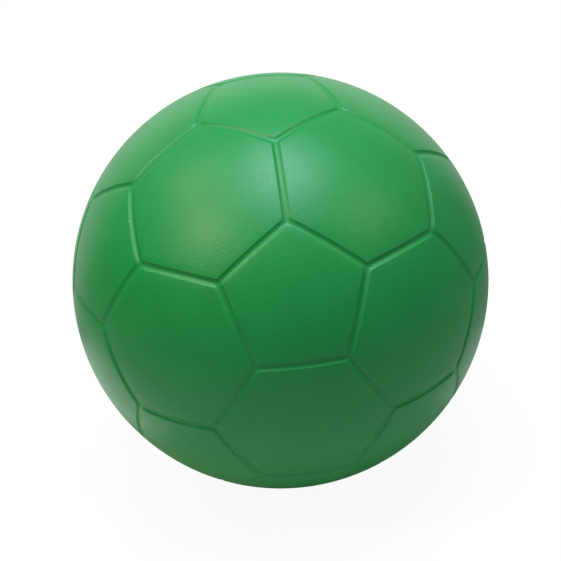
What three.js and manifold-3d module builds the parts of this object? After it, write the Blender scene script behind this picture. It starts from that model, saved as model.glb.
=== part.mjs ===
// A soft foam ball that looks like a football: a ball of foam inside one tough moulded skin.
// The skin is one piece. Its 12 five-sided and 20 six-sided panels are drawn by shallow channels, moulded
// where the seams of a stitched ball would run, and the foam has the same channels under the skin.
// Sizes are millimetres. The origin is the ball's centre. +Z runs through the middle of a five-sided panel.

import * as THREE from 'three';
import { mergeVertices } from 'three/addons/utils/BufferGeometryUtils.js';
import Module from 'manifold-3d';

// Driving dimensions
const BALL_DIAMETER = 200;
const SKIN_THICKNESS = 1;
const BOND_GAP = 0.3; // between the skin and the foam, where the two are bonded
const SEAM_WIDTH = 3.9; // across a channel, from panel edge to panel edge
const SEAM_DEPTH = 0.84; // at the middle of a channel
const SEAM_WALL_ANGLE = 37; // degrees from a panel to the flat wall of a channel
const BREATHER_DIAMETER = 2; // pinhole that lets air back into the foam after a squeeze

// Counts of facets
const OUTER_STEPS = 4; // along one seam, on the skin's outside
const INNER_STEPS = 3; // along one seam, on the skin's inside and on the foam
const BOTTOM_STEPS = 1; // from the middle of a channel to the foot of its wall
const BREATHER_SIDES = 16;

const SKIN_COLOUR = 0x2f9a55;
const SKIN_ROUGHNESS = 0.45;
const FOAM_COLOUR = 0xe4d9bb;
const FOAM_ROUGHNESS = 0.95;

const BALL_RADIUS = BALL_DIAMETER / 2;
const CAVITY_RADIUS = BALL_RADIUS - SKIN_THICKNESS;
const FOAM_RADIUS = CAVITY_RADIUS - BOND_GAP;

const wasm = await Module();
wasm.setup();

// Where the panels are: twelve directions spread evenly, one at each pole and five in each of two belts

const BELT_COUNT = 5;
const BELT_ELEVATION = Math.atan(1 / 2);
const FRONT_AZIMUTH = -Math.PI / 2; // a panel of the upper belt faces -Y, and one of the lower belt +Y
const NEIGHBOUR_ANGLE = Math.atan(2); // between the centres of neighbouring five-sided panels
const ANGLE_TOLERANCE = 0.01;
const CORNER_SHARE = 1 / 3; // thirds of the line between two such centres make all seams equally long

function direction(azimuth, elevation) {
  const flat = Math.cos(elevation);
  return new THREE.Vector3(flat * Math.cos(azimuth), flat * Math.sin(azimuth), Math.sin(elevation));
}

function fiveSidedCentres() {
  const centres = [direction(0, Math.PI / 2), direction(0, -Math.PI / 2)];
  for (let i = 0; i < BELT_COUNT; i += 1) {
    const turn = FRONT_AZIMUTH + (2 * Math.PI * i) / BELT_COUNT;
    centres.push(direction(turn, BELT_ELEVATION));
    centres.push(direction(turn + Math.PI, -BELT_ELEVATION));
  }
  return centres;
}

function areNeighbours(a, b) {
  return Math.abs(a.angleTo(b) - NEIGHBOUR_ANGLE) < ANGLE_TOLERANCE;
}

// The corner near `from` on the line from one five-sided panel's centre to its neighbour's
function cornerTowards(from, to) {
  return from.clone().lerp(to, CORNER_SHARE).normalize();
}

// Corners in counter-clockwise order, seen from outside the ball
function inOrder(centre, corners) {
  const east = corners[0].clone().projectOnPlane(centre).normalize();
  const north = centre.clone().cross(east);
  const turn = (corner) => Math.atan2(corner.dot(north), corner.dot(east));
  return corners.sort((a, b) => turn(a) - turn(b));
}

function makePanel(centre, corners) {
  return { centre, corners: inOrder(centre, corners) };
}

function fiveSidedPanels(centres) {
  return centres.map((centre) => {
    const neighbours = centres.filter((other) => areNeighbours(centre, other));
    return makePanel(centre, neighbours.map((other) => cornerTowards(centre, other)));
  });
}

// A six-sided panel lies between every three five-sided panels that are neighbours of each other
function sixSidedPanels(centres) {
  const panels = [];
  centres.forEach((a, i) => {
    centres.slice(i + 1).forEach((b, j) => {
      centres.slice(i + j + 2).forEach((c) => {
        if (areNeighbours(a, b) && areNeighbours(b, c) && areNeighbours(c, a)) {
          const middle = a.clone().add(b).add(c).normalize();
          const pairs = [[a, b], [b, a], [b, c], [c, b], [c, a], [a, c]];
          panels.push(makePanel(middle, pairs.map(([from, to]) => cornerTowards(from, to))));
        }
      });
    });
  });
  return panels;
}

// The channel's section: two flat walls, and a round bottom that runs into both

function channelOf(width, depth, wallAngle) {
  const half = width / 2;
  const slope = THREE.MathUtils.degToRad(wallAngle);
  const sharpDepth = half * Math.tan(slope); // where the walls would meet without the round bottom
  const bottomRadius = (sharpDepth - depth) / (1 / Math.cos(slope) - 1);
  return { half, depth, bottomRadius, slope };
}

// The channel on the far face of a shell that keeps its thickness under the channel
function channelBehind(channel, thickness) {
  const half = channel.half + thickness * Math.tan(channel.slope / 2);
  return { ...channel, half, bottomRadius: channel.bottomRadius + thickness };
}

// Distance from the seam's middle line and depth below the panels, in steps from the middle to the edge
function channelSteps(channel) {
  const bottom = Array.from({ length: BOTTOM_STEPS + 1 }, (_, step) => {
    const angle = (channel.slope * step) / BOTTOM_STEPS;
    const rise = channel.bottomRadius * (1 - Math.cos(angle));
    return { distance: channel.bottomRadius * Math.sin(angle), depth: channel.depth - rise };
  });
  return [...bottom, { distance: channel.half, depth: 0 }];
}

// One side of a panel. Its `normal` stands on the seam's plane and points into the panel.
function sideOf(panel, index) {
  const first = panel.corners[index];
  const last = panel.corners[(index + 1) % panel.corners.length];
  return { centre: panel.centre, first, last, normal: first.clone().cross(last).normalize() };
}

// The corner moved in along its mitre until it is `inset` radians from both seams that meet there
function mitredCorner(side, corner, inset) {
  const outward = corner.clone().projectOnPlane(side.centre).normalize();
  const height = side.normal.dot(side.centre);
  const lean = side.normal.dot(outward);
  const reach = Math.atan2(lean, height) + Math.acos(Math.sin(inset) / Math.hypot(height, lean));
  return side.centre.clone().multiplyScalar(Math.cos(reach)).addScaledVector(outward, Math.sin(reach));
}

// Unit directions of a row of points beside one seam, all `inset` radians from it
function rowBesideSeam(side, inset, steps) {
  const footOf = (corner) => mitredCorner(side, corner, inset).projectOnPlane(side.normal).normalize();
  const start = footOf(side.first);
  const span = start.angleTo(footOf(side.last));
  const ahead = side.normal.clone().cross(start);
  return Array.from({ length: steps + 1 }, (_, step) => {
    const turn = (span * step) / steps;
    const foot = start.clone().multiplyScalar(Math.cos(turn)).addScaledVector(ahead, Math.sin(turn));
    return foot.multiplyScalar(Math.cos(inset)).addScaledVector(side.normal, Math.sin(inset));
  });
}

// One closed ball with channels along all its seams

function addTriangle(positions, a, b, c) {
  [a, b, c].forEach((point) => positions.push(point.x, point.y, point.z));
}

// Fills the strip between two rows of as many points, the second row being nearer the panel's centre
function addStrip(positions, outerRow, innerRow) {
  for (let i = 0; i + 1 < outerRow.length; i += 1) {
    addTriangle(positions, outerRow[i], outerRow[i + 1], innerRow[i + 1]);
    addTriangle(positions, outerRow[i], innerRow[i + 1], innerRow[i]);
  }
}

// Fills the panel from its edge to its centre, each row having one point fewer than the row before
function addWedge(positions, side, edgeRow, inset, radius) {
  const steps = edgeRow.length - 1;
  let row = edgeRow;
  for (let ring = 1; ring <= steps; ring += 1) {
    const fewer = steps - ring;
    const onEdge = fewer > 0 ? rowBesideSeam(side, inset, fewer) : [side.centre.clone()];
    const inward = onEdge.map((point) => point.lerp(side.centre, ring / steps).setLength(radius));
    inward.forEach((point, i) => {
      addTriangle(positions, row[i], row[i + 1], point);
      if (i > 0) {
        addTriangle(positions, row[i], point, inward[i - 1]);
      }
    });
    row = inward;
  }
}

function channelledBall(panels, radius, channel, steps) {
  const positions = [];
  const sides = panels.flatMap((panel) => panel.corners.map((_, index) => sideOf(panel, index)));
  const levels = channelSteps(channel).map(({ distance, depth }) => ({ inset: distance / radius, depth }));
  const edgeInset = levels.at(-1).inset;
  sides.forEach((side) => {
    const rows = levels.map(({ inset, depth }) => {
      const row = rowBesideSeam(side, inset, steps);
      return row.map((point) => point.setLength(radius - depth));
    });
    rows.slice(1).forEach((row, k) => addStrip(positions, rows[k], row));
    addWedge(positions, side, rows.at(-1), edgeInset, radius);
  });
  const geometry = new THREE.BufferGeometry();
  geometry.setAttribute('position', new THREE.Float32BufferAttribute(positions, 3));
  return mergeVertices(geometry);
}

// Solids and cuts

function solidFrom(geometry) {
  const bare = geometry.clone();
  bare.deleteAttribute('normal');
  bare.deleteAttribute('uv');
  const merged = mergeVertices(bare);
  const vertProperties = new Float32Array(merged.attributes.position.array);
  const triVerts = new Uint32Array(merged.index.array);
  return new wasm.Manifold(new wasm.Mesh({ numProp: 3, vertProperties, triVerts }));
}

function geometryFrom(solid) {
  const mesh = solid.getMesh();
  const geometry = new THREE.BufferGeometry();
  geometry.setAttribute('position', new THREE.BufferAttribute(mesh.vertProperties, 3));
  geometry.setIndex(new THREE.BufferAttribute(mesh.triVerts, 1));
  geometry.computeVertexNormals();
  return geometry;
}

// The drill for the pinhole, from the ball's centre out through the middle of the panel facing +Y
function breatherDrill() {
  const radius = BREATHER_DIAMETER / 2;
  const drill = new THREE.CylinderGeometry(radius, radius, BALL_DIAMETER, BREATHER_SIDES);
  const cylinderAxis = new THREE.Vector3(0, 1, 0);
  const outward = direction(FRONT_AZIMUTH + Math.PI, -BELT_ELEVATION);
  drill.applyQuaternion(new THREE.Quaternion().setFromUnitVectors(cylinderAxis, outward));
  const middle = outward.multiplyScalar(BALL_RADIUS);
  drill.translate(middle.x, middle.y, middle.z);
  return drill;
}

// The two pieces

function makeSkin(panels, channel) {
  const outside = channelledBall(panels, BALL_RADIUS, channel, OUTER_STEPS);
  const insideChannel = channelBehind(channel, SKIN_THICKNESS);
  const inside = channelledBall(panels, CAVITY_RADIUS, insideChannel, INNER_STEPS);
  const shell = solidFrom(outside).subtract(solidFrom(inside)).subtract(solidFrom(breatherDrill()));
  const material = new THREE.MeshStandardMaterial({
    color: SKIN_COLOUR,
    roughness: SKIN_ROUGHNESS,
    metalness: 0,
  });
  const skin = new THREE.Mesh(geometryFrom(shell), material);
  skin.name = 'skin';
  return skin;
}

function makeFoamCore(panels, channel) {
  const foamChannel = channelBehind(channel, SKIN_THICKNESS + BOND_GAP);
  const geometry = channelledBall(panels, FOAM_RADIUS, foamChannel, INNER_STEPS);
  geometry.computeVertexNormals();
  const material = new THREE.MeshStandardMaterial({
    color: FOAM_COLOUR,
    roughness: FOAM_ROUGHNESS,
    metalness: 0,
  });
  const core = new THREE.Mesh(geometry, material);
  core.name = 'foam_core';
  return core;
}

const centres = fiveSidedCentres();
const panels = [...fiveSidedPanels(centres), ...sixSidedPanels(centres)];
const seamChannel = channelOf(SEAM_WIDTH, SEAM_DEPTH, SEAM_WALL_ANGLE);

const ball = new THREE.Group();
ball.name = 'foam_ball';
ball.add(makeSkin(panels, seamChannel), makeFoamCore(panels, seamChannel));

export default ball;
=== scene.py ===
"""Looks of a soft foam ball: a skin moulded with the channels of a 32-panel football, on a foam core.

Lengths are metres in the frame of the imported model: the origin is the ball's centre, +Z runs through the
middle of a five-sided panel and the front faces -Y.
"""

import itertools
import logging
import math
from collections.abc import Iterable, Iterator, Mapping
from dataclasses import dataclass
from enum import Enum

import bmesh
import bpy
import numpy as np
from mathutils import Matrix, Quaternion, Vector, noise


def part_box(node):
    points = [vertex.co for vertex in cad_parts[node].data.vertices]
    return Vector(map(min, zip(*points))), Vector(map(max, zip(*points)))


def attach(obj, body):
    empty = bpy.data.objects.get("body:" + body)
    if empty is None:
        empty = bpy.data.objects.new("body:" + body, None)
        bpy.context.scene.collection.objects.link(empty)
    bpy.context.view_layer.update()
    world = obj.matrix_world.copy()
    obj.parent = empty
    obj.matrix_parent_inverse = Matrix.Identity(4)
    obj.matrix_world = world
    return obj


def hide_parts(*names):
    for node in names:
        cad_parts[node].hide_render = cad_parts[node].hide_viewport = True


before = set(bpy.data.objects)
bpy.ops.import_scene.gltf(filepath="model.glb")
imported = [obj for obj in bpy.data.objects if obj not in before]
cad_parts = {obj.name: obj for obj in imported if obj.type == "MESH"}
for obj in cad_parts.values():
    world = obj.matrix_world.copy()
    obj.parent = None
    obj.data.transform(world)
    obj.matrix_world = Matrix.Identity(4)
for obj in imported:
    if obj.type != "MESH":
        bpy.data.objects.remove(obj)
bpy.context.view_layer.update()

log = logging.getLogger("foam_ball")

MILLIMETRE = 0.001
BODY = "root"
SEAM_DISTANCE = "seam_distance"  # name of the attribute that holds a point's distance from the nearest seam

Points = np.ndarray
Colour = tuple[float, float, float]
Direction = tuple[float, float, float]
Span = tuple[float, float]
Socket = bpy.types.NodeSocket
SocketValue = float | Colour | Direction | Socket


def unit(vectors: Points) -> Points:
    """Returns the vectors scaled to length one."""
    return vectors / np.linalg.norm(vectors, axis=-1, keepdims=True)


def heading(azimuth: float, elevation: float) -> Points:
    """Returns the unit direction at an azimuth from +X and an elevation, both in radians."""
    flat = math.cos(elevation)
    return np.array((flat * math.cos(azimuth), flat * math.sin(azimuth), math.sin(elevation)))


@dataclass(frozen=True)
class Side:
    """One side of a panel: the stretch of seam between two of its corners.

    All three fields are unit directions, and `first` to `last` runs counter-clockwise seen from outside.
    """

    centre: Points
    first: Points
    last: Points

    @property
    def normal(self) -> Points:
        """The direction that stands on the seam's plane and points into the panel."""
        return unit(np.cross(self.first, self.last))

    def mitred_foot(self, corner: Points, inset: float) -> Points:
        """Finds where a row beside the seam ends, on the line from the panel's centre to a corner.

        Args:
            corner: The corner at that end.
            inset: Angle between the row and the seam, in radians.

        Returns:
            The end of the row, dropped on the seam's plane.
        """
        outward = unit(corner - self.centre * (corner @ self.centre))
        height = self.normal @ self.centre
        lean = self.normal @ outward
        reach = math.atan2(lean, height) + math.acos(math.sin(inset) / math.hypot(height, lean))
        end = self.centre * math.cos(reach) + outward * math.sin(reach)
        return unit(end - self.normal * (end @ self.normal))

    def row(self, inset: float, steps: int) -> Points:
        """Lays a row of points beside the seam, mitred at both ends.

        Args:
            inset: Angle between the row and the seam, in radians.
            steps: Steps along the row.

        Returns:
            Unit directions, one more than there are steps.
        """
        start = self.mitred_foot(self.first, inset)
        end = self.mitred_foot(self.last, inset)
        span = math.acos(min(1.0, start @ end))
        ahead = np.cross(self.normal, start)
        turn = np.linspace(0.0, span, steps + 1)[:, None]
        feet = start * np.cos(turn) + ahead * np.sin(turn)
        return feet * math.cos(inset) + self.normal * math.sin(inset)


@dataclass(frozen=True)
class Panel:
    """One panel: its middle, and its corners counter-clockwise seen from outside, as unit directions."""

    centre: Points
    corners: Points

    @classmethod
    def around(cls, centre: Points, corners: Iterable[Points]) -> "Panel":
        """Makes a panel from corners in any order.

        Args:
            centre: Middle of the panel.
            corners: Its corners.

        Returns:
            The panel, with its corners in order.
        """
        found = np.array(list(corners))
        east = unit(found[0] - centre * (found[0] @ centre))
        north = np.cross(centre, east)
        order = np.argsort(np.arctan2(found @ north, found @ east))
        return cls(centre, found[order])

    def sides(self) -> list[Side]:
        """Returns the panel's sides in order."""
        following = np.roll(self.corners, -1, axis=0)
        return [Side(self.centre, first, last) for first, last in zip(self.corners, following)]


@dataclass(frozen=True)
class PanelPattern:
    """The classic pattern of 12 five-sided and 20 six-sided panels."""

    belt_count: int = 5
    belt_elevation: float = math.atan(1 / 2)
    front_azimuth: float = -math.pi / 2
    neighbour_angle: float = math.atan(2)
    angle_tolerance: float = 0.01
    corner_share: float = 1 / 3

    def five_sided_centres(self) -> list[Points]:
        """Finds the middles of the five-sided panels: one at each pole and five in each of two belts.

        Returns:
            Unit directions.
        """
        centres = [heading(0.0, math.pi / 2), heading(0.0, -math.pi / 2)]
        for place in range(self.belt_count):
            turn = self.front_azimuth + math.tau * place / self.belt_count
            centres.append(heading(turn, self.belt_elevation))
            centres.append(heading(turn + math.pi, -self.belt_elevation))
        return centres

    def are_neighbours(self, centres: Iterable[Points]) -> bool:
        """Tells whether five-sided panels with these middles are all neighbours of each other."""
        angles = [math.acos(np.clip(a @ b, -1, 1)) for a, b in itertools.combinations(centres, 2)]
        return all(abs(angle - self.neighbour_angle) < self.angle_tolerance for angle in angles)

    def corner(self, near: Points, far: Points) -> Points:
        """Returns the corner next to the first of two neighbouring five-sided panels."""
        return unit(near + (far - near) * self.corner_share)

    def panels(self) -> list[Panel]:
        """Lays out all 32 panels.

        Returns:
            The panels, the five-sided ones first.
        """
        centres = self.five_sided_centres()
        found = []
        for centre in centres:
            around = [other for other in centres if self.are_neighbours((centre, other))]
            found.append(Panel.around(centre, [self.corner(centre, other) for other in around]))
        for three in itertools.combinations(centres, 3):
            if self.are_neighbours(three):
                corners = [self.corner(a, b) for a, b in itertools.permutations(three, 2)]
                found.append(Panel.around(unit(sum(three)), corners))
        return found

    def vent_direction(self) -> Points:
        """Returns the middle of the lower-belt panel that faces away from the front."""
        return heading(self.front_azimuth + math.pi, -self.belt_elevation)

    def seam_angles(self, directions: Points) -> Points:
        """Measures how far directions lie from the seams.

        Args:
            directions: Unit directions, one in each row.

        Returns:
            The angle from each direction to the nearest seam, in radians.
        """
        deepest = np.full(len(directions), -math.pi)
        for panel in self.panels():
            heights = np.stack([directions @ side.normal for side in panel.sides()])
            deepest = np.maximum(deepest, np.arcsin(np.clip(heights.min(axis=0), -1, 1)))
        return np.clip(deepest, 0.0, None)


@dataclass(frozen=True)
class Channel:
    """Section of a moulded seam: two flat walls, a round bottom that runs into both, and rounded lips.

    The half width runs to where a wall would meet the panel if its lip were sharp. The slope is the angle
    of the walls to the panels, in radians, and the lip is the radius of its rounding.
    """

    half_width: float = 1.95 * MILLIMETRE
    depth: float = 0.84 * MILLIMETRE
    slope: float = math.radians(37)
    lip: float = 0.15 * MILLIMETRE

    @property
    def bottom(self) -> float:
        """The radius of the round bottom."""
        sharp_depth = self.half_width * math.tan(self.slope)
        return (sharp_depth - self.depth) / (1 / math.cos(self.slope) - 1)

    def behind(self, wall: float) -> "Channel":
        """Returns the section on the far face of a wall that keeps its thickness under the channel."""
        spread = wall * math.tan(self.slope / 2)
        return Channel(self.half_width + spread, self.depth, self.slope, lip=0.0)

    def rows(self, arc_steps: int, lip_steps: int) -> list[tuple[float, float]]:
        """Lists the rows of points that draw half of the section.

        Args:
            arc_steps: Steps round the bottom, from its middle to a wall.
            lip_steps: Steps round the lip, or 0 where the lip is sharp.

        Returns:
            Distance from the seam's middle line and depth below the panels, for each row.
        """
        slope = self.slope
        rows = []
        for step in range(arc_steps + 1):
            angle = slope * step / arc_steps
            rows.append((self.bottom * math.sin(angle), self.depth - self.bottom * (1 - math.cos(angle))))
        edge = self.half_width + self.lip * math.tan(slope / 2)
        for step in range(lip_steps + 1):
            angle = slope * (1 - step / lip_steps) if lip_steps else 0.0
            rows.append((edge - self.lip * math.sin(angle), self.lip * (1 - math.cos(angle))))
        return rows


class MeshStore:
    """Collects patches of points in rows and columns and joins them into one mesh."""

    MERGE_DISTANCE = 1e-6

    def __init__(self) -> None:
        """Starts with no points and no faces."""
        self.points: list[Points] = []
        self.faces: list[tuple[int, ...]] = []
        self.count = 0

    def add(self, grid: Points, inward: bool = False) -> None:
        """Adds a patch.

        Args:
            grid: Points, shaped rows by columns by 3. Seen from outside, the columns run counter-clockwise
                round the panel, and the rows run towards its middle.
            inward: Whether the faces look at the ball's centre.
        """
        rows, columns = grid.shape[:2]
        index = self.count + np.arange(rows * columns).reshape(rows, columns)
        quads = np.stack((index[:-1, :-1], index[:-1, 1:], index[1:, 1:], index[1:, :-1]), axis=-1)
        if inward:
            quads = quads[..., ::-1]
        self.points.append(grid.reshape(-1, 3))
        self.faces.extend(map(tuple, quads.reshape(-1, 4).tolist()))
        self.count += rows * columns

    def mesh(self, name: str) -> bpy.types.Mesh:
        """Joins the patches into a smooth mesh.

        Args:
            name: Name of the mesh.

        Returns:
            The mesh, with the patches' shared points merged.
        """
        mesh = bpy.data.meshes.new(name)
        mesh.from_pydata(np.concatenate(self.points).tolist(), [], self.faces)
        work = bmesh.new()
        work.from_mesh(mesh)
        bmesh.ops.remove_doubles(work, verts=work.verts, dist=self.MERGE_DISTANCE)
        work.to_mesh(mesh)
        work.free()
        mesh.shade_smooth()
        return mesh


@dataclass(frozen=True)
class PanelSurface:
    """One surface of the ball, with a channel along every seam."""

    pattern: PanelPattern
    radius: float
    channel: Channel
    seam_steps: int
    arc_steps: int
    lip_steps: int = 0
    vent_radius: float = 0.0
    vent_lip: float = 0.0

    VENT_RINGS = 14
    VENT_CROWDING = 2.2  # how much closer the rings lie near the vent
    VENT_LIP_STEPS = 4

    def fill(self, store: MeshStore, inward: bool = False) -> Points | None:
        """Adds the surface to a mesh.

        Args:
            store: Where the patches go.
            inward: Whether the surface is the inside of a shell.

        Returns:
            The ring of points round the vent, or None where the surface has none.
        """
        ring = None
        for panel in self.pattern.panels():
            edges = []
            for side in panel.sides():
                strip = self.strip(side)
                store.add(strip, inward)
                edges.append(strip[-1])
            if self.vent_radius > 0 and np.allclose(panel.centre, self.pattern.vent_direction()):
                patch = self.vented_patch(panel, edges)
                store.add(patch, inward)
                ring = patch[-1]
            else:
                for patch in self.kites(panel, edges):
                    store.add(patch, inward)
        return ring

    def strip(self, side: Side) -> Points:
        """Lays rows of points from a seam's middle line to just past its lip.

        Args:
            side: The side of the panel that the seam runs along.

        Returns:
            The rows, the first in the channel's bottom and the last on the panel.
        """
        rows = self.channel.rows(self.arc_steps, self.lip_steps)
        return np.stack(
            [side.row(away / self.radius, self.seam_steps) * (self.radius - depth) for away, depth in rows]
        )

    def kites(self, panel: Panel, edges: list[Points]) -> Iterator[Points]:
        """Divides the panel within its lips into one four-sided patch at each corner.

        Args:
            panel: The panel.
            edges: The last row of each side's strip.

        Yields:
            A patch with as many rows as columns, on the sphere.
        """
        half = self.seam_steps // 2
        share = np.linspace(0.0, 1.0, half + 1)[:, None]
        along, across = share[None], share[:, None]
        middle = panel.centre * self.radius
        for place, edge in enumerate(edges):
            before = edges[place - 1]
            base = edge[: half + 1]
            flank = before[half:][::-1]
            far = edge[half] + (middle - edge[half]) * share
            top = before[half] + (middle - before[half]) * share
            rails = (1 - across) * base[None] + across * top[None]
            rungs = (1 - along) * flank[:, None] + along * far[:, None]
            near_corners = (1 - along) * (1 - across) * base[0] + along * (1 - across) * base[-1]
            far_corners = (1 - along) * across * flank[-1] + along * across * middle
            yield unit(rails + rungs - near_corners - far_corners) * self.radius

    def vented_patch(self, panel: Panel, edges: list[Points]) -> Points:
        """Fills the panel within its lips with rings that end at the vent's wall.

        Args:
            panel: The panel that holds the vent.
            edges: The last row of each side's strip.

        Returns:
            Closed rings of points, the first along the lips and the last in the vent.
        """
        loop = np.concatenate([edge[:-1] for edge in edges] + [edges[0][:1]])
        outward = unit(loop - panel.centre * (loop @ panel.centre)[:, None])
        away = np.arccos(np.clip(unit(loop) @ panel.centre, -1, 1))
        mouth = (self.vent_radius + self.vent_lip) / self.radius
        rings = []
        for share in np.linspace(0.0, 1.0, self.VENT_RINGS + 1):
            angle = (mouth + (away - mouth) * (1 - share) ** self.VENT_CROWDING)[:, None]
            rings.append((panel.centre * np.cos(angle) + outward * np.sin(angle)) * self.radius)
        if self.vent_lip > 0:
            for step in range(1, self.VENT_LIP_STEPS + 1):
                turn = math.pi / 2 * step / self.VENT_LIP_STEPS
                spread = self.vent_radius + self.vent_lip * (1 - math.sin(turn))
                sunk = self.radius - self.vent_lip * (1 - math.cos(turn))
                rings.append(panel.centre * sunk + outward * spread)
        return np.stack(rings)


class Nodes:
    """Adds nodes to one tree and links them."""

    NUMBER_RESULTS = ("LENGTH", "DOT_PRODUCT")  # operations of a Vector Math node that give a number
    COLOUR_MIX_INPUTS = (0, 6, 7)  # places of a Mix node's share and of its two colours
    COLOUR_MIX_OUTPUT = 2

    def __init__(self, tree: bpy.types.NodeTree) -> None:
        """Takes the tree as it is."""
        self.tree = tree

    def add(
        self, kind: str, inputs: Mapping[str | int, SocketValue] | None = None, **settings: object
    ) -> bpy.types.Node:
        """Adds one node.

        Args:
            kind: The node's Blender type, without its ShaderNode prefix.
            inputs: Values or sockets for its inputs, by name or place.
            settings: The node's own properties.

        Returns:
            The new node.
        """
        node = self.tree.nodes.new(kind if kind.startswith("Node") else "ShaderNode" + kind)
        for name, value in settings.items():
            setattr(node, name, value)
        for key, value in (inputs or {}).items():
            self.feed(node.inputs[key], value)
        return node

    def feed(self, socket: Socket, value: SocketValue) -> None:
        """Links a socket to an input, or sets the input to a plain value.

        Args:
            socket: The input.
            value: A socket, a number, a direction, or a colour without its alpha.
        """
        if isinstance(value, bpy.types.NodeSocket):
            self.tree.links.new(value, socket)
        elif socket.type == "RGBA":
            socket.default_value = (*value, 1.0)
        else:
            socket.default_value = value

    def math(self, operation: str, *values: SocketValue) -> Socket:
        """Returns the result of a Math node on numbers."""
        return self.add("Math", dict(enumerate(values)), operation=operation).outputs[0]

    def vector(self, operation: str, *values: SocketValue) -> Socket:
        """Returns the result of a Vector Math node on directions: a number or a direction."""
        outputs = self.add("VectorMath", dict(enumerate(values)), operation=operation).outputs
        return outputs["Value" if operation in self.NUMBER_RESULTS else "Vector"]

    def ramp(
        self,
        value: SocketValue,
        low: SocketValue,
        high: SocketValue,
        start: SocketValue = 0.0,
        end: SocketValue = 1.0,
    ) -> Socket:
        """Returns a value eased from `start` at `low` to `end` at `high`."""
        inputs = {"Value": value, "From Min": low, "From Max": high, "To Min": start, "To Max": end}
        return self.add("MapRange", inputs, interpolation_type="SMOOTHSTEP").outputs["Result"]

    def switch(self, flag: SocketValue, off: SocketValue, on: SocketValue) -> Socket:
        """Returns one number where a flag is 0 and another where it is 1, eased between them."""
        return self.ramp(flag, 0.0, 1.0, off, on)

    def blend(self, share: SocketValue, first: SocketValue, second: SocketValue) -> Socket:
        """Turns one colour into another.

        Args:
            share: How far, from 0 to 1.
            first: The colour at 0.
            second: The colour at 1.

        Returns:
            The mixed colour.
        """
        node = self.add("Mix", data_type="RGBA")
        for place, value in zip(self.COLOUR_MIX_INPUTS, (share, first, second)):
            self.feed(node.inputs[place], value)
        return node.outputs[self.COLOUR_MIX_OUTPUT]


class Effect(Enum):
    """Surface effects that the skin and the foam share, by the name of their node group."""

    GRAIN = "moulded_grain"
    MOTTLE = "mottled_tone"
    FLECKS = "scattered_flecks"


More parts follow.
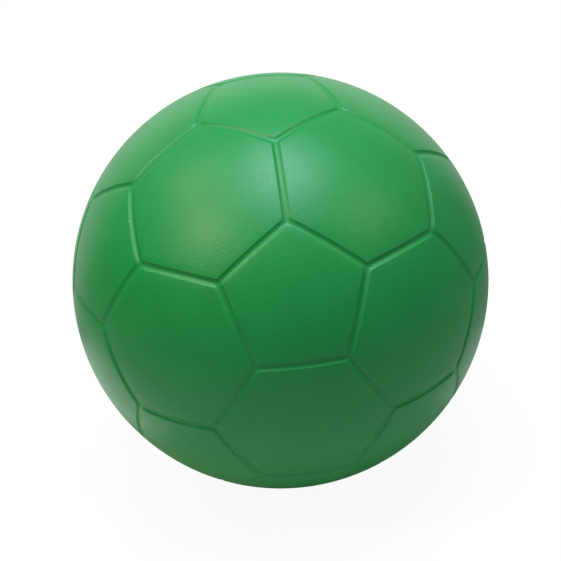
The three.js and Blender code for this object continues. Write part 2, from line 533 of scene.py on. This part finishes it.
class EffectLibrary:
    """Node groups of the shared effects, each built when it is first placed."""

    NUMBER = "NodeSocketFloat"
    VECTOR = "NodeSocketVector"
    PEBBLE_NOISE = {"Detail": 2.0, "Roughness": 0.5}
    PORE_NOISE = {"Detail": 1.0, "Roughness": 0.6}
    PATCH_NOISE = {"Detail": 4.0, "Roughness": 0.55, "Distortion": 0.6}
    NOISE_MIDDLE = 0.5
    LEAST_FLECK = 0.3  # radius of the smallest fleck as a share of the largest
    FLECK_CORE = 0.6  # share of a fleck's radius within which it is at full strength

    def place(self, nodes: Nodes, effect: Effect, inputs: Mapping[str, SocketValue]) -> Socket:
        """Places an effect in a material with values for its inputs, and returns its one output."""
        tree = bpy.data.node_groups.get(effect.value) or self.build(effect)
        return nodes.add("Group", inputs, node_tree=tree).outputs[0]

    def build(self, effect: Effect) -> bpy.types.NodeTree:
        """Builds the group of one effect."""
        makers = {Effect.GRAIN: self.grain, Effect.MOTTLE: self.mottle, Effect.FLECKS: self.flecks}
        return makers[effect](effect.value)

    def start(
        self, name: str, inputs: Iterable[str], output: str
    ) -> tuple[Nodes, bpy.types.Node, bpy.types.Node]:
        """Starts a group that reads a position and some numbers and puts out one number.

        Args:
            name: The group's name.
            inputs: Names of the numbers that it reads.
            output: Name of what it puts out.

        Returns:
            The group's nodes, its input node and its output node.
        """
        tree = bpy.data.node_groups.new(name, "ShaderNodeTree")
        tree.interface.new_socket("Position", in_out="INPUT", socket_type=self.VECTOR)
        for label in inputs:
            tree.interface.new_socket(label, in_out="INPUT", socket_type=self.NUMBER)
        tree.interface.new_socket(output, in_out="OUTPUT", socket_type=self.NUMBER)
        nodes = Nodes(tree)
        return nodes, nodes.add("NodeGroupInput"), nodes.add("NodeGroupOutput")

    def add_noise(
        self, nodes: Nodes, given: bpy.types.Node, size: str, character: Mapping[str, float]
    ) -> Socket:
        """Adds a noise to a group.

        Args:
            nodes: The group's nodes.
            given: Its input node.
            size: Name of the input that holds the size of the noise's features.
            character: The noise's other inputs, by name.

        Returns:
            The noise, from 0 to 1.
        """
        scale = nodes.math("DIVIDE", 1.0, given.outputs[size])
        inputs = {"Vector": given.outputs["Position"], "Scale": scale, **character}
        return nodes.add("TexNoise", inputs).outputs["Fac"]

    def grain(self, name: str) -> bpy.types.NodeTree:
        """Builds the grain of a moulded surface: low pebbles with finer pores on them.

        Args:
            name: The group's name.

        Returns:
            The group, which puts out a height from 0 to 1.
        """
        nodes, given, result = self.start(name, ("Pebble Size", "Fine Size", "Fine Share"), "Height")
        pebbles = self.add_noise(nodes, given, "Pebble Size", self.PEBBLE_NOISE)
        pores = self.add_noise(nodes, given, "Fine Size", self.PORE_NOISE)
        mixed = {"Factor": given.outputs["Fine Share"], "A": pebbles, "B": pores}
        height = nodes.add("Mix", mixed, data_type="FLOAT")
        nodes.feed(result.inputs[0], height.outputs[0])
        return nodes.tree

    def mottle(self, name: str) -> bpy.types.NodeTree:
        """Builds soft patches of uneven tone.

        Args:
            name: The group's name.

        Returns:
            The group, which puts out a mask from 0 to 1.
        """
        nodes, given, result = self.start(name, ("Patch Size", "Softness"), "Mask")
        patches = self.add_noise(nodes, given, "Patch Size", self.PATCH_NOISE)
        spread = nodes.math("DIVIDE", given.outputs["Softness"], 2.0)
        low = nodes.math("SUBTRACT", self.NOISE_MIDDLE, spread)
        high = nodes.math("ADD", self.NOISE_MIDDLE, spread)
        nodes.feed(result.inputs[0], nodes.ramp(patches, low, high))
        return nodes.tree

    def flecks(self, name: str) -> bpy.types.NodeTree:
        """Builds small round marks of several sizes, scattered over a surface.

        Args:
            name: The group's name.

        Returns:
            The group, which puts out a mask that is 1 in a mark.
        """
        nodes, given, result = self.start(name, ("Spacing", "Radius Share", "Filled Share"), "Mask")
        scale = nodes.math("DIVIDE", 1.0, given.outputs["Spacing"])
        cells = nodes.add("TexVoronoi", {"Vector": given.outputs["Position"], "Scale": scale})
        draw = nodes.add("SeparateColor", {"Color": cells.outputs["Color"]}).outputs
        filled = nodes.math("LESS_THAN", draw["Red"], given.outputs["Filled Share"])
        varied = nodes.math("MULTIPLY_ADD", draw["Green"], 1.0 - self.LEAST_FLECK, self.LEAST_FLECK)
        radius = nodes.math("MULTIPLY", varied, given.outputs["Radius Share"])
        inside = nodes.math("DIVIDE", cells.outputs["Distance"], radius)
        shape = nodes.ramp(inside, self.FLECK_CORE, 1.0, 1.0, 0.0)
        nodes.feed(result.inputs[0], nodes.math("MULTIPLY", shape, filled))
        return nodes.tree


def empty_nodes(owner: bpy.types.Material | bpy.types.World) -> Nodes:
    """Turns on the nodes of a material or a world and clears them.

    Args:
        owner: The material or world.

    Returns:
        Its nodes.
    """
    owner.use_nodes = True
    owner.node_tree.nodes.clear()
    return Nodes(owner.node_tree)


def new_material(name: str) -> tuple[bpy.types.Material, Nodes, bpy.types.Node]:
    """Makes a material with a Principled shader.

    Args:
        name: The material's name.

    Returns:
        The material, its nodes and its shader.
    """
    material = bpy.data.materials.new(name)
    nodes = empty_nodes(material)
    shader = nodes.add("BsdfPrincipled")
    nodes.add("OutputMaterial", {"Surface": shader.outputs[0]})
    return material, nodes, shader


@dataclass(frozen=True)
class SkinFinish:
    """Satin green polyurethane with a fine moulded grain, a few pale specks, and pale nicks along the lips,
    which are partly wear and partly painted glints on the lip edges.
    """

    green: Colour = (0.012, 0.330, 0.072)
    deep_green: Colour = (0.010, 0.305, 0.065)
    patch_size: float = 26.0 * MILLIMETRE
    patch_softness: float = 0.5
    # Pale colour of the specks, and of the nicks, which also paint glints along the lips.
    dust_and_glint: Colour = (0.25, 0.48, 0.28)
    speck_spacing: float = 9.0 * MILLIMETRE
    speck_radius: float = 0.035  # as a share of the spacing
    speck_share: float = 0.4
    # Nicks near the lips: wear, and partly painted glints on the lip edges.
    nick_and_glint_spacing: float = 6.0 * MILLIMETRE
    nick_and_glint_radius: float = 0.12  # as a share of the spacing
    nick_and_glint_share: float = 0.8
    nick_and_glint_reach: Span = (0.2 * MILLIMETRE, 0.6 * MILLIMETRE)
    pebble_size: float = 0.8 * MILLIMETRE
    pore_size: float = 0.4 * MILLIMETRE
    pore_share: float = 0.35
    grain_height: float = 0.13 * MILLIMETRE
    grain_range: Span = (0.3, 0.7)  # heights between which the roughness changes
    roughness: Span = (0.33, 0.39)
    gloss: float = 0.5

    def material(self, effects: EffectLibrary, lip_distance: float) -> bpy.types.Material:
        """Builds the skin's material.

        Args:
            effects: The shared effects.
            lip_distance: Distance from a seam's middle line to its lip.

        Returns:
            The material.
        """
        material, nodes, shader = new_material("satin_green_skin")
        position = nodes.add("TexCoord").outputs["Object"]
        mottle = effects.place(
            nodes,
            Effect.MOTTLE,
            {"Position": position, "Patch Size": self.patch_size, "Softness": self.patch_softness},
        )
        grain = effects.place(
            nodes,
            Effect.GRAIN,
            {
                "Position": position,
                "Pebble Size": self.pebble_size,
                "Fine Size": self.pore_size,
                "Fine Share": self.pore_share,
            },
        )
        specks = effects.place(
            nodes,
            Effect.FLECKS,
            {
                "Position": position,
                "Spacing": self.speck_spacing,
                "Radius Share": self.speck_radius,
                "Filled Share": self.speck_share,
            },
        )
        nicks = effects.place(
            nodes,
            Effect.FLECKS,
            {
                "Position": position,
                "Spacing": self.nick_and_glint_spacing,
                "Radius Share": self.nick_and_glint_radius,
                "Filled Share": self.nick_and_glint_share,
            },
        )
        from_seam = nodes.add("Attribute", attribute_name=SEAM_DISTANCE).outputs["Fac"]
        from_lip = nodes.math("ABSOLUTE", nodes.math("SUBTRACT", from_seam, lip_distance))
        # The nicks stay near the lips, where their pale colour partly paints glints on the lip edges.
        nicks = nodes.math("MULTIPLY", nicks, nodes.ramp(from_lip, *self.nick_and_glint_reach, 1.0, 0.0))
        tone = nodes.blend(mottle, self.green, self.deep_green)
        tone = nodes.blend(nodes.math("MAXIMUM", specks, nicks), tone, self.dust_and_glint)
        nodes.feed(shader.inputs["Base Color"], tone)
        nodes.feed(shader.inputs["Roughness"], nodes.ramp(grain, *self.grain_range, *self.roughness))
        nodes.feed(shader.inputs["Specular IOR Level"], self.gloss)
        bump = nodes.add("Bump", {"Height": grain, "Distance": self.grain_height})
        nodes.feed(shader.inputs["Normal"], bump.outputs["Normal"])
        return material


@dataclass(frozen=True)
class FoamFinish:
    """Cream soft polyurethane foam with open cells, whose pores are darkened with painted shade."""

    cream: Colour = (0.776, 0.694, 0.497)
    aged_cream: Colour = (0.730, 0.630, 0.420)
    patch_size: float = 30.0 * MILLIMETRE
    patch_softness: float = 0.6
    # Painted shade: the colour that darkens the pores.
    painted_pore_shade: Colour = (0.420, 0.340, 0.210)
    painted_pore_shade_share: float = 0.7  # how far a pore takes its painted shade
    pore_spacing: float = 1.6 * MILLIMETRE
    pore_radius: float = 0.45  # as a share of the spacing
    pore_share: float = 0.6
    pore_depth: float = 0.6  # as a share of the cells' height
    cell_size: float = 1.2 * MILLIMETRE
    fine_cell_size: float = 0.5 * MILLIMETRE
    fine_cell_share: float = 0.5
    cell_height: float = 0.25 * MILLIMETRE
    cell_range: Span = (0.3, 0.7)  # heights between which the roughness changes
    roughness: Span = (0.88, 0.98)
    gloss: float = 0.2

    def material(self, effects: EffectLibrary) -> bpy.types.Material:
        """Builds the foam's material.

        Args:
            effects: The shared effects.

        Returns:
            The material.
        """
        material, nodes, shader = new_material("cream_foam")
        position = nodes.add("TexCoord").outputs["Object"]
        mottle = effects.place(
            nodes,
            Effect.MOTTLE,
            {"Position": position, "Patch Size": self.patch_size, "Softness": self.patch_softness},
        )
        cells = effects.place(
            nodes,
            Effect.GRAIN,
            {
                "Position": position,
                "Pebble Size": self.cell_size,
                "Fine Size": self.fine_cell_size,
                "Fine Share": self.fine_cell_share,
            },
        )
        pores = effects.place(
            nodes,
            Effect.FLECKS,
            {
                "Position": position,
                "Spacing": self.pore_spacing,
                "Radius Share": self.pore_radius,
                "Filled Share": self.pore_share,
            },
        )
        tone = nodes.blend(mottle, self.cream, self.aged_cream)
        # Painted shade in the pores.
        tone = nodes.blend(nodes.math("MULTIPLY", pores, self.painted_pore_shade_share), tone, self.painted_pore_shade)
        nodes.feed(shader.inputs["Base Color"], tone)
        nodes.feed(shader.inputs["Roughness"], nodes.ramp(cells, *self.cell_range, *self.roughness))
        nodes.feed(shader.inputs["Specular IOR Level"], self.gloss)
        height = nodes.math("SUBTRACT", cells, nodes.math("MULTIPLY", pores, self.pore_depth))
        bump = nodes.add("Bump", {"Height": height, "Distance": self.cell_height})
        nodes.feed(shader.inputs["Normal"], bump.outputs["Normal"])
        return material


def show(mesh: bpy.types.Mesh) -> bpy.types.Object:
    """Puts a mesh in the scene.

    Args:
        mesh: The mesh.

    Returns:
        Its object, which has the same name.
    """
    shown = bpy.data.objects.new(mesh.name, mesh)
    bpy.context.scene.collection.objects.link(shown)
    return shown


def half_height(node: str) -> float:
    """Returns half the height of a node of the frame, which for a ball is its radius."""
    low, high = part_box(node)
    return (high.z - low.z) / 2


@dataclass
class Skin:
    """The tough outer coat: one shell with the moulded channels and a breather hole at the back."""

    radius: float
    pattern: PanelPattern
    channel: Channel
    thickness: float = 1.0 * MILLIMETRE
    breather_diameter: float = 2.0 * MILLIMETRE
    breather_lip: float = 0.25 * MILLIMETRE
    seam_steps: int = 16
    arc_steps: int = 5
    lip_steps: int = 3
    inner_arc_steps: int = 3

    NODE = "skin"
    SLOT = "skin"

    def build(self) -> bpy.types.Object:
        """Builds the shell.

        Returns:
            The skin as an object, riding on the ball's body.
        """
        vent_radius = self.breather_diameter / 2
        outside = PanelSurface(
            self.pattern,
            self.radius,
            self.channel,
            self.seam_steps,
            self.arc_steps,
            self.lip_steps,
            vent_radius=vent_radius,
            vent_lip=self.breather_lip,
        )
        inside = PanelSurface(
            self.pattern,
            self.radius - self.thickness,
            self.channel.behind(self.thickness),
            self.seam_steps,
            self.inner_arc_steps,
            vent_radius=vent_radius,
        )
        store = MeshStore()
        outer_ring = outside.fill(store)
        inner_ring = inside.fill(store, inward=True)
        store.add(np.stack((outer_ring, inner_ring)))
        mesh = store.mesh("moulded_skin")
        self.mark_seams(mesh)
        skin = show(mesh)
        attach(skin, BODY)
        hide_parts(self.NODE)
        return skin

    def mark_seams(self, mesh: bpy.types.Mesh) -> None:
        """Stores each point's distance from the nearest seam in the mesh.

        Args:
            mesh: The skin's mesh.
        """
        flat = np.empty(len(mesh.vertices) * 3, dtype=np.float32)
        mesh.vertices.foreach_get("co", flat)
        angles = self.pattern.seam_angles(unit(flat.reshape(-1, 3).astype(float)))
        attribute = mesh.attributes.new(SEAM_DISTANCE, "FLOAT", "POINT")
        attribute.data.foreach_set("value", (angles * self.radius).astype(np.float32))

    def dress(self, skin: bpy.types.Object, finish: SkinFinish, effects: EffectLibrary) -> None:
        """Gives the skin its finish."""
        skin.data.materials.append(finish.material(effects, self.channel.half_width))


@dataclass
class FoamCore:
    """The ball of soft foam that fills the skin, with the same channels moulded into it."""

    radius: float
    pattern: PanelPattern
    channel: Channel
    seam_steps: int = 12
    arc_steps: int = 3
    unevenness: float = 0.15 * MILLIMETRE
    lump_size: float = 9.0 * MILLIMETRE

    NODE = "foam_core"
    SLOT = "foam"
    FILL = 1.0

    def build(self) -> bpy.types.Object:
        """Builds the core.

        Returns:
            The core as an object, riding on the ball's body.
        """
        store = MeshStore()
        PanelSurface(self.pattern, self.radius, self.channel, self.seam_steps, self.arc_steps).fill(store)
        mesh = store.mesh("foam_filling")
        self.roughen(mesh)
        core = show(mesh)
        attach(core, BODY)
        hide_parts(self.NODE)
        return core

    def roughen(self, mesh: bpy.types.Mesh) -> None:
        """Sinks the surface unevenly, as foam is, and never raises it.

        Args:
            mesh: The core's mesh.
        """
        for point in mesh.vertices:
            lump = (1 + noise.noise(point.co / self.lump_size)) / 2
            point.co -= point.co.normalized() * (self.unevenness * lump)

    def dress(self, core: bpy.types.Object, finish: FoamFinish, effects: EffectLibrary) -> None:
        """Gives the core its finish."""
        core.data.materials.append(finish.material(effects))


class LampShape(Enum):
    """Outlines of a lamp's face."""

    DISC = "DISK"
    SQUARE = "SQUARE"


@dataclass(frozen=True)
class Lamp:
    """A studio lamp that points at the ball, out of the camera's sight."""

    name: str
    direction: Direction  # from the ball's centre to the lamp
    size: float
    power: float  # in watts
    colour: Colour
    distance: float = 1.1
    shape: LampShape = LampShape.DISC

    def build(self) -> None:
        """Puts the lamp in the scene."""
        light = bpy.data.lights.new(self.name, "AREA")
        light.shape = self.shape.value
        light.size = self.size
        light.energy = self.power
        light.color = self.colour
        lamp = bpy.data.objects.new(self.name, light)
        towards = Vector(self.direction).normalized()
        aim = towards.to_track_quat("Z", "Y")
        lamp.matrix_world = Matrix.LocRotScale(towards * self.distance, aim, None)
        lamp.visible_camera = False
        bpy.context.scene.collection.objects.link(lamp)


@dataclass(frozen=True)
class Floor:
    """A pale floor that the camera sees as white, with the ball's soft shadow.

    It lights the ball from below as a painted pool of light, pale in the middle and darker outwards. In the
    ball's gloss it shows as a darker painted pool of light, and as white behind the ball.
    """

    level: float
    half_width: float = 6.0
    camera_grey: float = 0.75  # matt tone that carries the shadow
    camera_white: float = 1.06  # strength of the white that lies over it
    camera_share: float = 0.88  # share of that white near the ball
    far_edge: Span = (0.6, 1.5)  # distances between which the white grows to its full share
    # Painted light: a pool of light painted into the floor's matt tone round the ball.
    painted_pool_centre: Span = (-0.03, 0.0)
    painted_pool_stretch: Direction = (0.5, 1.0, 1.0)  # factors on a distance, so the painted pool of light is wider in X
    painted_pool_edge: Span = (0.05, 0.5)  # distances between which the painted pool of light darkens
    painted_pool_grey: Span = (0.90, 0.32)  # tone of the painted pool of light, from its middle outwards
    painted_pool_gloss: Span = (0.50, 0.15)  # tone of the painted pool of light in the ball's gloss, from its middle outwards
    mirror_heading: Direction = (-0.085, 0.996, 0.0)  # where the white behind the ball has its middle
    mirror_edge: Span = (0.5, 0.8)  # cosines of the angle from there between which that white grows
    mirror_share: Span = (0.0, 0.72)

    def build(self) -> None:
        """Lays the floor under the ball."""
        half = self.half_width
        outline = ((-half, -half), (half, -half), (half, half), (-half, half))
        mesh = bpy.data.meshes.new("floor")
        mesh.from_pydata([(x, y, self.level) for x, y in outline], [], [(0, 1, 2, 3)])
        mesh.materials.append(self.material())
        floor = show(mesh)

    def material(self) -> bpy.types.Material:
        """Builds the floor's material.

        Returns:
            The material.
        """
        material = bpy.data.materials.new("pale_floor")
        nodes = empty_nodes(material)
        rays = nodes.add("LightPath").outputs
        position = nodes.add("NewGeometry").outputs["Position"]
        offset = nodes.vector("SUBTRACT", position, (*self.painted_pool_centre, self.level))
        away = nodes.vector("LENGTH", offset)
        drawn = nodes.vector("LENGTH", nodes.vector("MULTIPLY", offset, self.painted_pool_stretch))
        behind = nodes.vector("DOT_PRODUCT", nodes.vector("NORMALIZE", position), self.mirror_heading)
        # Painted light: the pool of light is painted into the floor's tone, for the ball's matt light and
        # for its gloss.
        pool = nodes.ramp(drawn, *self.painted_pool_edge, *self.painted_pool_grey)
        gloss = nodes.ramp(away, *self.painted_pool_edge, *self.painted_pool_gloss)
        tone = nodes.switch(rays["Is Glossy Ray"], pool, gloss)
        seen = nodes.math("MAXIMUM", rays["Is Camera Ray"], rays["Is Transmission Ray"])
        matt = nodes.add("BsdfDiffuse", {"Color": nodes.switch(seen, tone, self.camera_grey)})
        white = nodes.add("Emission", {"Strength": self.camera_white})
        cover = nodes.ramp(away, *self.far_edge, self.camera_share, 1.0)
        lit = nodes.ramp(behind, *self.mirror_edge, *self.mirror_share)
        mirrored = nodes.math("MULTIPLY", rays["Is Glossy Ray"], lit)
        share = nodes.math("MAXIMUM", nodes.math("MULTIPLY", seen, cover), mirrored)
        look = nodes.add("MixShader", {0: share, 1: matt.outputs[0], 2: white.outputs[0]})
        nodes.add("OutputMaterial", {"Surface": look.outputs[0]})
        return material


@dataclass(frozen=True)
class Room:
    """The room: white to the camera, a soft fill to matt surfaces, and dim with a lit backdrop to gloss."""

    fill: Span = (0.07, 0.55)  # from level to straight above
    fill_balance: Span = (0.45, 1.25)  # factor on the fill, from the front to the back
    tone: Span = (0.03, 0.34)  # from the walls to the ceiling
    ceiling_edge: Span = (0.0, 0.85)  # sines of the elevation between which that tone changes
    backdrop_tone: float = 1.0
    backdrop_edge: Span = (0.55, 0.95)  # cosines of the angle from +Y between which the backdrop grows
    backdrop_top: Span = (0.25, 0.6)  # sines of the elevation between which the backdrop fades
    backdrop_fade: float = 0.2  # share of the backdrop that is left above its top

    WHITE = (1.0, 1.0, 1.0)

    def build(self) -> None:
        """Makes the room the world of the scene."""
        world = bpy.data.worlds.new("studio_white")
        nodes = empty_nodes(world)
        rays = nodes.add("LightPath").outputs
        towards = nodes.add("SeparateXYZ", {0: nodes.add("TexCoord").outputs["Generated"]}).outputs
        behind = nodes.ramp(towards["Y"], *self.backdrop_edge)
        below_top = nodes.ramp(towards["Z"], *self.backdrop_top, 1.0, self.backdrop_fade)
        dim = nodes.ramp(towards["Z"], *self.ceiling_edge, *self.tone)
        mirrored = nodes.switch(nodes.math("MULTIPLY", behind, below_top), dim, self.backdrop_tone)
        fill = nodes.ramp(towards["Z"], 0.0, 1.0, *self.fill)
        balance = nodes.ramp(towards["Y"], -1.0, 1.0, *self.fill_balance)
        strength = nodes.switch(rays["Is Glossy Ray"], nodes.math("MULTIPLY", fill, balance), mirrored)
        seen = nodes.math("MAXIMUM", rays["Is Camera Ray"], rays["Is Transmission Ray"])
        strength = nodes.switch(seen, strength, 1.0)
        light = nodes.add("Background", {"Color": self.WHITE, "Strength": strength})
        nodes.add("OutputWorld", {"Surface": light.outputs[0]})
        bpy.context.scene.world = world


@dataclass(frozen=True)
class Camera:
    """The camera at the photograph's viewing angle. Its azimuth is 0 in front of the ball."""

    lens: float = 118.5
    sensor: float = 36.0
    distance: float = 0.893
    azimuth: float = math.radians(-3.95)
    elevation: float = math.radians(31.97)
    roll: float = math.radians(-4.40)

    VIEW_AXIS = (0.0, 0.0, 1.0)  # the camera's own axis, which it rolls on

    def build(self) -> None:
        """Makes this the scene's camera."""
        data = bpy.data.cameras.new("camera")
        data.lens = self.lens
        data.sensor_width = self.sensor
        back = Vector(heading(self.azimuth - math.pi / 2, self.elevation))
        turn = back.to_track_quat("Z", "Y") @ Quaternion(self.VIEW_AXIS, self.roll)
        camera = bpy.data.objects.new("camera", data)
        camera.matrix_world = Matrix.LocRotScale(back * self.distance, turn, None)
        bpy.context.scene.collection.objects.link(camera)
        bpy.context.scene.camera = camera


@dataclass(frozen=True)
class Studio:
    """All that stands round the ball: the floor, the lamps, the room and the camera."""

    ball_radius: float

    LAMPS = (
        Lamp("overhead_softbox", (0.055, -0.03, 1.0), 0.56, 9.0, (0.63, 0.79, 1.0), shape=LampShape.SQUARE),
        Lamp("left_front_lamp", (-0.589, -0.321, 0.742), 0.15, 2.7, (1.0, 0.85, 0.55)),
        Lamp("left_back_lamp", (-0.554, 0.142, 0.820), 0.26, 1.5, (1.0, 0.83, 0.55)),
        Lamp("right_lamp", (0.682, -0.243, 0.689), 0.14, 0.92, (1.0, 0.90, 0.42)),
        Lamp("right_back_lamp", (0.870, 0.350, 0.300), 0.90, 0.30, (1.0, 0.92, 0.60)),
        Lamp("low_left_bounce", (-0.725, 0.010, -0.690), 0.14, 0.027, (1.0, 0.98, 0.95), distance=0.145),
        Lamp("low_right_bounce", (0.730, 0.000, -0.680), 0.10, 0.008, (1.0, 0.98, 0.95), distance=0.145),
    )

    def build(self) -> None:
        """Sets up the studio, with colours shown as they are written."""
        Floor(-self.ball_radius).build()
        for lamp in self.LAMPS:
            lamp.build()
        Room().build()
        Camera().build()
        bpy.context.scene.view_settings.view_transform = "Standard"


def report(piece: bpy.types.Object) -> None:
    """Logs one finished piece."""
    log.info("%s: %d faces, %s", piece.name, len(piece.data.polygons), piece.data.materials[0].name)


def main() -> None:
    """Builds the ball's pieces, dresses them and sets up the studio."""
    logging.basicConfig(level=logging.INFO, format="%(name)s: %(message)s")
    pattern = PanelPattern()
    channel = Channel()
    effects = EffectLibrary()
    ball_radius = half_height(Skin.NODE)
    core_radius = half_height(FoamCore.NODE)

    skin = Skin(ball_radius, pattern, channel)
    skin_piece = skin.build()
    skin.dress(skin_piece, SkinFinish(), effects)
    report(skin_piece)

    core = FoamCore(core_radius, pattern, channel.behind(ball_radius - core_radius))
    core_piece = core.build()
    core.dress(core_piece, FoamFinish(), effects)
    report(core_piece)

    Studio(ball_radius).build()


if __name__ == "__main__":
    main()
